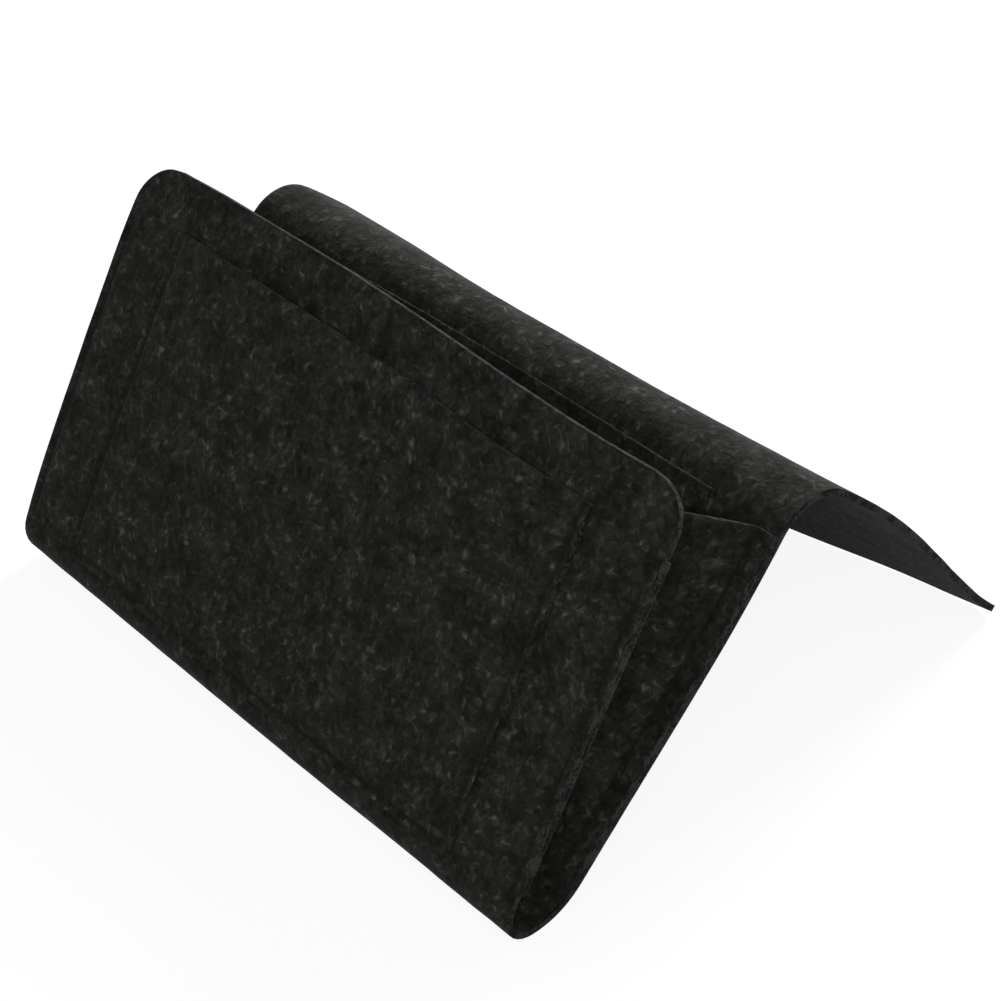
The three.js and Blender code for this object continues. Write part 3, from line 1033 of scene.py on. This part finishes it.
class CADDY_OT_stitching(bpy.types.Operator):
    """Sew the pockets and gussets on"""

    bl_idname = "caddy.stitching"
    bl_label = "Stitching"

    def execute(self, context):
        settings = settings_of(context)
        sheet = LongSheet(settings)
        front_jobs, back_jobs = stitching_jobs(settings, sheet)
        thread = material_of("sewing_thread", thread_surface, settings.looks)
        ball = grain()
        pieces = ("front_stitching", front_jobs, "front"), ("back_stitching", back_jobs, "back")
        for name, jobs, body in pieces:
            bm = bmesh.new()
            for seam, place, off in jobs:
                sew(bm, ball, seam, place, settings.stitch, off)
            mesh = as_mesh(bm, name)
            mesh.materials.append(thread)
            piece = added(name, mesh)
            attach(piece, body)
        return {"FINISHED"}


WHITE = opaque((1.0, 1.0, 1.0))


def lamp(name, place, target, width, power):
    """A square soft lamp that shines from one place at another."""
    light = bpy.data.lights.new(name, "AREA")
    light.size = width
    light.energy = power
    lit = added(name, light)
    lit.location = place
    lit.rotation_euler = (target - place).to_track_quat("-Z", "Y").to_euler()


def seen(shade):
    """1 on rays from the camera, and on those that metal or glass turns."""
    rays = ("Is Camera Ray", "Is Glossy Ray", "Is Transmission Ray")
    camera, glossy, transmitted = (shade.add("LightPath", {}, output=ray) for ray in rays)
    total = camera + glossy + transmitted
    return total.maths("MINIMUM", total, 1.0)


class CADDY_OT_stage(bpy.types.Operator):
    """Set up the floor, the lamps and the camera"""

    bl_idname = "caddy.stage"
    bl_label = "Stage"

    def execute(self, context):
        settings, scene = settings_of(context), context.scene
        stage = settings.stage
        scene.view_settings.view_transform = "Standard"
        self.make_floor(stage, settings.form.wave)
        self.make_world(scene, stage)
        middle = (CAD_LOW + CAD_HIGH) / 2
        top, front = middle + Vector(stage.top_lamp), middle + Vector(stage.front_lamp)
        lamp("top_softbox", top, middle, stage.top_width, stage.top_power)
        lamp("front_softbox", front, middle, stage.front_width, stage.front_power)
        self.make_camera(scene, stage)
        return {"FINISHED"}

    def make_floor(self, stage, depth):
        """A floor as far down as the felt's slow waves reach, which the camera sees as white."""
        bm = bmesh.new()
        bmesh.ops.create_grid(bm, x_segments=2, y_segments=2, size=stage.floor / 2)
        bmesh.ops.translate(bm, verts=bm.verts, vec=(0, 0, -depth))
        mesh = as_mesh(bm, "floor")
        floor = added("floor", mesh)
        shade = Shade(bpy.data.materials.new("pale_floor"))
        lit = shade.add("BsdfDiffuse", {"Color": opaque(stage.floor_colour)})
        white = shade.add("Emission", {"Color": WHITE, "Strength": stage.floor_white})
        mixed = shade.add("MixShader", {0: seen(shade) * stage.floor_glow, 1: lit, 2: white})
        mesh.materials.append(shade.finish(mixed))

    def make_world(self, scene, stage):
        """Light from all round, in a room that the camera sees as white."""
        shade = Shade(bpy.data.worlds.new("studio"))
        strength = stage.ambient + (1 - stage.ambient) * seen(shade)
        white = shade.add("Background", {"Color": WHITE, "Strength": strength})
        scene.world = shade.finish(white, "OutputWorld")

    def make_camera(self, scene, stage):
        """The camera, turned round the caddy, up and about its own axis."""
        data = bpy.data.cameras.new("camera")
        data.lens = stage.lens
        camera = scene.camera = added("camera", data)
        turn, height = stage.azimuth, stage.elevation
        level = Vector((math.sin(turn), -math.cos(turn), 0)) * math.cos(height)
        back = level + Vector((0, 0, math.sin(height)))
        right = Vector((math.cos(turn), math.sin(turn), 0))
        matrix = Matrix((right, back.cross(right), back)).transposed()
        matrix = (matrix @ Matrix.Rotation(stage.roll, 3, "Z")).to_4x4()
        matrix.translation = stage.camera
        camera.matrix_world = matrix


class CADDY_PT_caddy(bpy.types.Panel):
    """Lists the steps that make the caddy"""

    bl_idname = "CADDY_PT_caddy"
    bl_label = "Felt bedside caddy"
    bl_space_type = "VIEW_3D"
    bl_region_type = "UI"
    bl_category = "Caddy"

    def draw(self, context):
        for step in STEPS:
            self.layout.operator(step.bl_idname)


class CaddySettings(bpy.types.PropertyGroup):
    """Everything that a user would change."""

    sheet: group(SheetSizes)
    form: group(SheetForm)
    pocket: group(PocketSizes)
    gusset: group(GussetSizes)
    stitch: group(StitchSizes)
    grid: group(GridSizes)
    looks: group(FeltLooks)
    stage: group(StageSizes)


GROUPS = (SheetSizes, SheetForm, PocketSizes, GussetSizes, StitchSizes, GridSizes, FeltLooks, StageSizes)
STEPS = (CADDY_OT_long_sheet, CADDY_OT_pockets, CADDY_OT_gussets, CADDY_OT_stitching, CADDY_OT_stage)
CLASSES = (*GROUPS, CaddySettings, *STEPS, CADDY_PT_caddy)


def register():
    for item in CLASSES:
        bpy.utils.register_class(item)
    bpy.types.Scene.caddy = group(CaddySettings)


def unregister():
    del bpy.types.Scene.caddy
    for item in reversed(CLASSES):
        bpy.utils.unregister_class(item)


def main():
    register()
    bpy.ops.caddy.long_sheet()
    bpy.ops.caddy.pockets()
    bpy.ops.caddy.gussets()
    bpy.ops.caddy.stitching()
    bpy.ops.caddy.stage()


if __name__ == "__main__":
    main()
